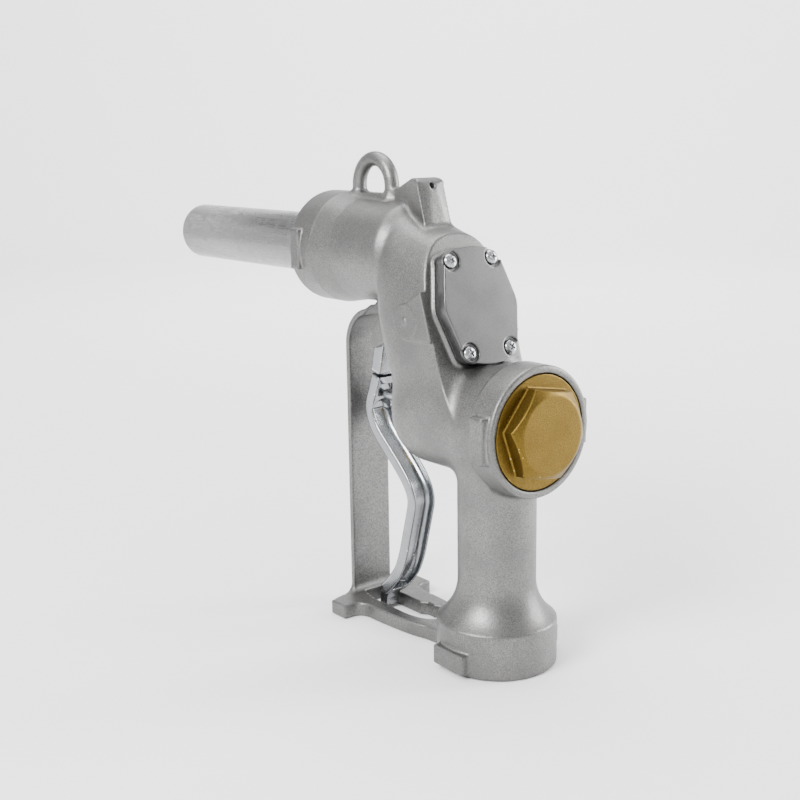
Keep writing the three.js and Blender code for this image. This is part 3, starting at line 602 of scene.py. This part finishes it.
def casting_field(space):
    """Body, lever guard and hanging loop, blended as one sand casting and then machined."""
    x, y, z = space.x, space.y, space.z
    from_valve = np.hypot(x, z - VALVE_Z)
    up, depth = on_cover(space)
    from_plunger = np.hypot(x, up)
    trunk = trunk_field(space)
    from_boss = np.hypot(y - BOSS_Y, z - BOSS_Z)
    boss = rod(from_boss, x, BOSS_R, -33.8, 33.8, 0.8)
    pip = rod(from_boss, x, 2, -34.6, 34.6, 0.4)
    pad_foot, pad_top = BOSS_Z - BOSS_R, BOSS_Z + 20
    pad_side = Outline([(BOSS_Y, pad_foot), (BOSS_Y, BOSS_Z + BOSS_R), (BOSS_Y - 16, pad_top),
                        (0, pad_top), (0, pad_foot)])
    pad = extruded(pad_side.at(y, z), x, 33.4, 0.7)
    trunk = join(join(join(trunk, pad, 0.6), boss, 0.5), pip, 0.4)
    trunk = carve(trunk, depth - TRUNK_DEPTH, 0.8)
    flange = extruded(Outline(cover_outline(0.6)).at(x, up), depth - FLANGE_DEPTH - 8, 8, 0.7)
    body = join(trunk, turned(barrel_profile(), from_valve, y), 9)
    body = join(body, turned(handle_profile(), np.hypot(x, y), z), 7)
    body = join(body, turned(neck_profile(), np.hypot(x, z - SPOUT_Z), y), 2.5)
    body = join(body, rod(from_plunger, depth, 11.5, 50, 80), 3)
    body = join(body, link_cheeks(space), 1)
    body = join(body, rod(from_valve, y, 13, 50, 70), 3)
    body = join(body, flange, 1.5)
    body = join(body, fin_field(space), 3)
    body = join(body, loop_field(space), 4)
    for lug in (block(space, (-37.85, 37.85), (-12.5, 12.5), (3, 14.5), 1),
                block(space, (-39.7, 39.7), (-30.9, -20.9), (127.7, 153.7), 1),
                block(space, (-35.8, 35.8), (140.6, 149.6), (217.3, 242.3), 1)):
        body = join(body, lug, 1.5)
    body = join(body, guard_field(space), 4)
    cover_room = extruded(Outline(cover_outline(1)).at(x, up), depth - FLANGE_DEPTH + 16, 16, 0.1)
    body = carve(body, cover_room, 0.5)
    for hollow in passages(space):
        body = carve(body, hollow, 0.8)
    for hole in small_holes(space):
        body = carve(body, hole, 0.3)
    return np.maximum(body, -z)


def make_casting():
    space = Space((-39.7, -34.6, 0), (39.7, 153.1, 288.3), 0.75)
    piece = piece_of("cast_body", space, casting_field(space), CASTING)
    stands_for(piece, "body", "cast_aluminium", "body_casting", "lever_guard")


make_casting()


# ---- Valve cap, gland nut and stem ----


def hexagon(across_flats, u, v, turn=0.0):
    """A hexagon's flat field. Two of its flats face along v when turn is 0."""
    sides = []
    for step in range(6):
        angle = math.radians(30 + 60 * step) + turn
        sides.append(u * math.cos(angle) + v * math.sin(angle) - across_flats / 2)
    return np.maximum.reduce(np.broadcast_arrays(*sides))


def make_cap():
    face = -43.5
    space = Space((-32, face, -32), (32, -20.5, 32), 0.3)
    radius = np.hypot(space.x, space.z)
    flats = hexagon(47.5, space.x, space.z, math.radians(-10))
    hexagonal = extruded(flats, space.y - face - 6, 6, 0.6)
    chamfer = radius - 21.8 - (space.y - face) * 1.65
    hexagonal = common(hexagonal, chamfer / 1.93, 0.5)
    flange = rod(radius, space.y, 31.9, -33.9, -31.1, 0.6)
    skirt = rod(radius, space.y, 29.5, -33, -20.6, 0.6)
    cap = join(join(hexagonal, flange, 1.2), skirt, 0.3)
    cap = carve(cap, rod(radius, space.y, 25, -29, -10), 0.5)
    piece = piece_of("valve_cap", space, cap, BRASS_CAP, ON_VALVE)
    stands_for(piece, "body", "cap_brass", "poppet_cap")


def make_gland_nut():
    space = Space((-11.6, 60, -11.6), (11.6, 78, 11.6), 0.3)
    radius = np.hypot(space.x, space.z)
    nut = extruded(hexagon(20, space.x, space.z), space.y - 74.2, 3.8, 0.4)
    nut = common(nut, (radius - 11.4 + (space.y - 77) * 1.2) / 1.5, 0.3)
    nut = join(nut, rod(radius, space.y, 7.7, 60, 72), 0.4)
    nut = carve(nut, radius - 3.8, 0.5)
    piece = piece_of("gland_nut_turned", space, nut, BRASS, ON_VALVE)
    stands_for(piece, "body", "valve_brass", "gland_nut")


def make_stem():
    tip = arc((0, 99), STEM_R, 0, 90, 6)
    profile = [(0, 11), (8, 11), (8, 14.6), (STEM_R, 14.6), (STEM_R, 99), *tip[1:-1], (0, 102.5)]
    piece = turned_piece("stem_turned", profile, STEEL, ON_VALVE, 48)
    stands_for(piece, "valve", "spring_steel", "valve_stem")


make_cap()
make_gland_nut()
make_stem()


# ---- Spout ----


def make_spout():
    inner, rear, end = SPOUT_R - 1.6, 136.6, SPOUT_END
    profile = [(inner, rear), (SPOUT_R, rear), (SPOUT_R, end - 0.6), (SPOUT_R - 0.2, end - 0.15),
               (SPOUT_R - 0.6, end), (inner + 0.3, end), (inner, end - 0.4)]
    piece = turned_piece("spout_drawn", profile, SPOUT, ON_SPOUT, 128)
    stands_for(piece, "body", "drawn_aluminium", "spout_tube")


make_spout()


# ---- Rear cover and its screws, in the cover's own frame: X, depth along Y, up along Z ----


def make_cover():
    space = Space((-27, COVER_FACE, -33.8), (27, COVER_UNDER, 33.8), 0.28)
    x, depth, up = space.x, space.y, space.z
    half = (COVER_UNDER - COVER_FACE) / 2
    plate = extruded(Outline(cover_outline()).at(x, up), depth - COVER_FACE - half, half, 0.5)
    for place_x, place_up in SCREW_PLACES:
        radius = np.hypot(x - place_x, up - place_up)
        plate = carve(plate, rod(radius, depth, 5.8, -9, SEAT, 0.5), 0.6)
        plate = carve(plate, radius - 2.3, 0.3)
    chamber = turned([(0, 2.4), (16, 2.4), (18.5, 4), (18.5, 14), (0, 14)], np.hypot(x, up), depth)
    plate = carve(plate, chamber, 0.4)
    piece = piece_of("cover_plate", space, plate, COVER, COVER_PLACE)
    stands_for(piece, "body", "cover_aluminium", "diaphragm_cover")


def make_screws():
    space = Space((-4.4, -2.7, -4.4), (4.4, 16.6, 4.4), 0.14)
    radius = np.hypot(space.x, space.z)
    dome = [(0, -2.6), (1.6, -2.52), (2.8, -2.2), (3.7, -1.6), (4.25, -0.7)]
    head = turned([*dome, (4.25, -0.3), (0, -0.3)], radius, space.y)
    shank = rod(radius, space.y, 2, -1, 16.6, 0.5)
    screw = join(head, shank, 0.1)
    taper = 0.45 * np.maximum(space.y + 2.6, 0)
    for u, v in ((space.x, space.z), (space.z, space.x)):
        arm = np.maximum(np.abs(u) - 0.5, np.abs(v) - 2.3 + taper)
        screw = carve(screw, np.maximum(arm, space.y + 0.9), 0.15)
    screw = carve(screw, np.maximum(radius - 1.1 + taper, space.y + 0.9), 0.15)
    first = piece_of("screw_head_1", space, screw, ZINC)
    data = first.data
    bpy.data.objects.remove(first)
    in_order = sorted(SCREW_PLACES, key=lambda place: (-place[1], place[0]))
    for index, (x, up) in enumerate(in_order):
        piece = bpy.data.objects.new(f"screw_{index + 1}", data)
        bpy.context.scene.collection.objects.link(piece)
        turn = Matrix.Rotation(0.5 + 1.1 * index, 4, "Y")
        piece.matrix_world = COVER_PLACE @ Matrix.Translation((x * MM, SEAT * MM, up * MM)) @ turn
        stands_for(piece, "body", "zinc_steel", f"cover_screw_{index + 1}")


make_cover()
make_screws()


# ---- Lever, its link and pins ----

LEVER_LINE = [(100.8, 153.4), (104.4, 144), (108.4, 134), (107.4, 127), (101.5, 117.8), (90, 107.5),
              (78.5, 97.2), (70.5, 88), (67.6, 79.5), (69.3, 70), (73.3, 55.5), (77.2, 42), (82.5, 30.5),
              (90.6, 21), (97, 15)]


def lever_band(rear, front, skip_head=0, skip_tip=0):
    """A band along the lever's middle line between two offsets, positive towards the guard."""
    line = curve_through(LEVER_LINE)
    along = np.gradient(line, axis=0)
    along /= np.linalg.norm(along, axis=1)[:, None]
    outward = np.stack([-along[:, 1], along[:, 0]], 1)
    kept = slice(skip_head, len(line) - skip_tip)
    front_side = (line + outward * front)[kept]
    rear_side = (line + outward * rear)[kept]
    return Outline([*map(tuple, front_side), *map(tuple, rear_side[::-1])])


def make_lever():
    space = Space((-8.5, 64, 3.2), (8.5, 112.6, 165.1), 0.4)
    x, y, z = space.x, space.y, space.z
    blade = extruded(lever_band(-3.6, 4).at(y, z), x, LEVER_HALF, 1.4)
    head_end = Outline([(85, 149.7), (115, 157.4), (115, 185), (85, 185)])
    blade = carve(blade, head_end.at(y, z), 0.8)
    trough_half = LEVER_HALF - 1.9
    trough = extruded(lever_band(-8.6, 2, 15, 3).at(y, z), x, trough_half, 4)
    round_end = rod(np.hypot(x, z - 130.5), y, trough_half, 90, 109.6, 4)
    blade = carve(blade, join(trough, round_end, 0.5), 0.8)
    toe = Outline([(94.5, 14), (97.6, 8), (98, 3.2), (105, 3.2), (105, 9), (101.5, 15.5)])
    lever = join(blade, extruded(toe.at(y, z), x, 5, 0.8), 2)
    neck = Outline([(99.8, 150), (104.4, 150), (104, 158), (99.8, 158)])
    tongue = join(rod(np.hypot(y - PIVOT_Y, z - PIVOT_Z), x, 3.5, -3.6, 3.6),
                  extruded(neck.at(y, z), x, 3.6, 0.3), 0.5)
    lever = join(lever, tongue, 0.8)
    lever = carve(lever, block(space, (-5.4, 5.4), (90, 103.3), (135.4, 147.2), 1.0), 0.8)
    lever = carve(lever, rod(np.hypot(y - PIVOT_Y, z - PIVOT_Z), x, 2.3, -12, 12), 0.3)
    piece = piece_of("lever_forged", space, lever, LEVER)
    stands_for(piece, "lever", "lever_aluminium", "lever")


def make_link():
    space = Space((-8.5, 90, 154), (8.5, 105.4, 185.3), 0.35)
    x, y, z = space.x, space.y, space.z
    side = Outline([(97.6, 154.2), (105.2, 156.1), (101.4, 171), (99.6, 182), (97.4, 185.2), (93, 185.2),
                    (90.6, 181), (91.4, 176), (93.6, 168), (96.1, 156.4)])
    link = extruded(side.at(y, z), x, LEVER_HALF, 0.9)
    link = carve(link, block(space, (-4.1, 4.1), (80, 115), (169.5, 195), 0.5), 0.6)
    link = carve(link, block(space, (-3.9, 3.9), (97.3, 115), (140, 165), 0.5), 0.5)
    for pin_y, pin_z in (plunger_point(LINK_PIN_DEPTH), (PIVOT_Y, PIVOT_Z)):
        hole = rod(np.hypot(y - pin_y, z - pin_z), x, 2.3, -6.5, 12)
        link = carve(link, hole, 0.4)
    piece = piece_of("link_forged", space, link, LEVER)
    stands_for(piece, "trip", "lever_aluminium", "trip_link")


def make_pins():
    profile = [(0, -6.2), (1.7, -6.2), (2, -5.9), (2, 7.8), (1.6, 8.2), (0, 8.2)]
    for name, node, (y, z) in (("pin_upper", "link_pin", plunger_point(LINK_PIN_DEPTH)),
                               ("pin_lower", "lever_pivot_pin", (PIVOT_Y, PIVOT_Z))):
        piece = turned_piece(name, profile, STEEL, across(y, z), 32)
        stands_for(piece, "trip", "spring_steel", node)


make_lever()
make_link()
make_pins()


# ---- Springs and the diaphragm ----

PLUNGER_AXIS = (0, math.cos(COVER_TILT), -math.sin(COVER_TILT))


def coil_piece(name, radius, wire, low, high, turns, place):
    """A round wire wound about its local Y axis, from one height to another, in millimetres."""
    steps, sides = 32 * turns, 12
    points = []
    for step in range(steps + 1):
        turn = 2 * math.pi * turns * step / steps
        height = low + wire + (high - low - 2 * wire) * step / steps
        for side in range(sides):
            around = 2 * math.pi * side / sides
            out = radius + wire * math.cos(around)
            up = height + wire * math.sin(around)
            points.append((out * math.cos(turn) * MM, up * MM, out * math.sin(turn) * MM))
    faces = [list(range(sides))[::-1], [steps * sides + side for side in range(sides)]]
    for step in range(steps):
        for side in range(sides):
            a, b = step * sides + side, step * sides + (side + 1) % sides
            faces.append([a, b, b + sides, a + sides])
    data = bpy.data.meshes.new(name)
    data.from_pydata(points, [], faces)
    data.transform(place)
    data.shade_smooth()
    return link_mesh(name, data, STEEL)


def make_springs():
    plunger = [COVER_PLACE, PLUNGER_AXIS]
    upright = (0, 1, 0)
    for node, size, place, axis, joint, fixed, travel in (
            ("main_spring", (12, 1.5, -28.6, 16.9, 6), ON_VALVE, upright, "valve_slide", -28.6, 7),
            ("check_spring", (6, 0.6, 120.6, 130.8, 4), ON_SPOUT, upright, "check_slide", 130.8, 6),
            ("plunger_spring", (7.5, 0.65, 23.2, 37.8, 5), *plunger, "trip_slide", 37.8, 6),
            ("diaphragm_spring", (7.5, 0.6, 2.6, 9.2, 3), *plunger, "latch_slide", 2.6, 3)):
        piece = coil_piece(node + "_wound", *size, place)
        stands_for(piece, "body", "spring_steel", node)
        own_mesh(piece)


def make_diaphragm():
    data = frame["nodes"]["diaphragm"].data.copy()
    data.materials.clear()
    piece = link_mesh("diaphragm_moulded", data, RUBBER)
    stands_for(piece, "body", "seal_rubber", "diaphragm")
    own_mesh(piece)


make_springs()
make_diaphragm()


# ---- Carried-over CAD pieces ----

CARRIED = {
    "cast_aluminium": CASTING, "cover_aluminium": COVER, "drawn_aluminium": SPOUT,
    "lever_aluminium": LEVER, "cap_brass": BRASS_CAP, "valve_brass": BRASS, "zinc_steel": ZINC,
    "spring_steel": STEEL, "seal_rubber": RUBBER,
}


def finish_carried():
    slots = {row["node"]: row["material_slot"] for row in frame["record"]["subparts"]}
    for name, node in frame["nodes"].items():
        node.data.materials.clear()
        node.data.materials.append(CARRIED[slots[name]])


finish_carried()


# ---- Floor, light and camera ----


def floor_material():
    n = Nodes("studio_floor")
    clouds = n.noise(3, 3, 0.5)
    colour = n.mixed(clouds, (0.90, 0.90, 0.90), (0.93, 0.93, 0.93))
    return n.finish(colour, n.between(clouds, 0.3, 0.7, 0.75, 0.85), None, 0.0)


def make_floor():
    """A round floor that curves up all round into a low backdrop."""
    flat, curve, top, sides = 2.4, 0.9, 1.3, 96
    rows = [(flat * share, 0) for share in (0.02, 0.25, 0.5, 0.75, 1)]
    for angle in np.radians(range(6, 91, 6)):
        rows.append((flat + curve * math.sin(angle), curve - curve * math.cos(angle)))
    rows += [(flat + curve, top)]
    angles = 2 * np.pi * np.arange(sides) / sides
    points = [(r * math.cos(a), r * math.sin(a), up) for r, up in rows for a in angles]
    faces = [list(range(sides))]
    for row in range(len(rows) - 1):
        for side in range(sides):
            beside = (side + 1) % sides
            faces.append([row * sides + side, (row + 1) * sides + side,
                          (row + 1) * sides + beside, row * sides + beside])
    data = bpy.data.meshes.new("floor")
    data.from_pydata(points, [], faces)
    data.shade_smooth()
    link_mesh("floor", data, floor_material())


def area_light(name, place, size, power, target=(0, 0.1, 0.15)):
    data = bpy.data.lights.new(name, "AREA")
    data.shape = "RECTANGLE"
    data.size, data.size_y = size
    data.energy = power
    light = bpy.data.objects.new(name, data)
    light.location = place
    light.rotation_euler = (Vector(target) - Vector(place)).to_track_quat("-Z", "Y").to_euler()
    bpy.context.scene.collection.objects.link(light)


def make_lights():
    world = bpy.data.worlds.new("studio")
    world.use_nodes = True
    tree = world.node_tree
    direction = tree.nodes.new("ShaderNodeTexCoord").outputs["Generated"]
    height = tree.nodes.new("ShaderNodeSeparateXYZ")
    tree.links.new(direction, height.inputs[0])
    strength = tree.nodes.new("ShaderNodeMapRange")
    strength.inputs["From Min"].default_value = 0.0
    strength.inputs["From Max"].default_value = 0.7
    strength.inputs["To Min"].default_value = 0.2
    strength.inputs["To Max"].default_value = 1.1
    tree.links.new(height.outputs["Z"], strength.inputs["Value"])
    tree.nodes["Background"].inputs["Color"].default_value = (1, 1, 1, 1)
    tree.links.new(strength.outputs["Result"], tree.nodes["Background"].inputs["Strength"])
    bpy.context.scene.world = world
    area_light("key", (-1.3, -0.1, 1.1), (0.7, 0.6), 46)
    area_light("rim", (1.2, -0.55, 0.4), (0.4, 1.2), 30)
    area_light("top", (0.3, 0.6, 1.6), (1.4, 1.4), 34, (0.4, 0.6, 0))
    area_light("backdrop", (1.2, 1.0, 1.8), (1.6, 1.6), 90, (2.0, 2.4, 0.8))


def make_camera():
    data = bpy.data.cameras.new("camera")
    data.sensor_width = 36
    data.lens = 55.40
    camera = bpy.data.objects.new("camera", data)
    azimuth, elevation, roll = (math.radians(a) for a in (-38.215, 12.462, -0.887))
    back = Vector((math.sin(azimuth) * math.cos(elevation), -math.cos(azimuth) * math.cos(elevation),
                   math.sin(elevation)))
    right = Vector((math.cos(azimuth), math.sin(azimuth), 0))
    up = back.cross(right)
    turn = Matrix((right, up, back)).transposed().to_4x4() @ Matrix.Rotation(roll, 4, "Z")
    camera.matrix_world = Matrix.Translation((-0.4556, -0.4914, 0.3016)) @ turn
    bpy.context.scene.collection.objects.link(camera)
    bpy.context.scene.camera = camera


make_floor()
make_lights()
make_camera()
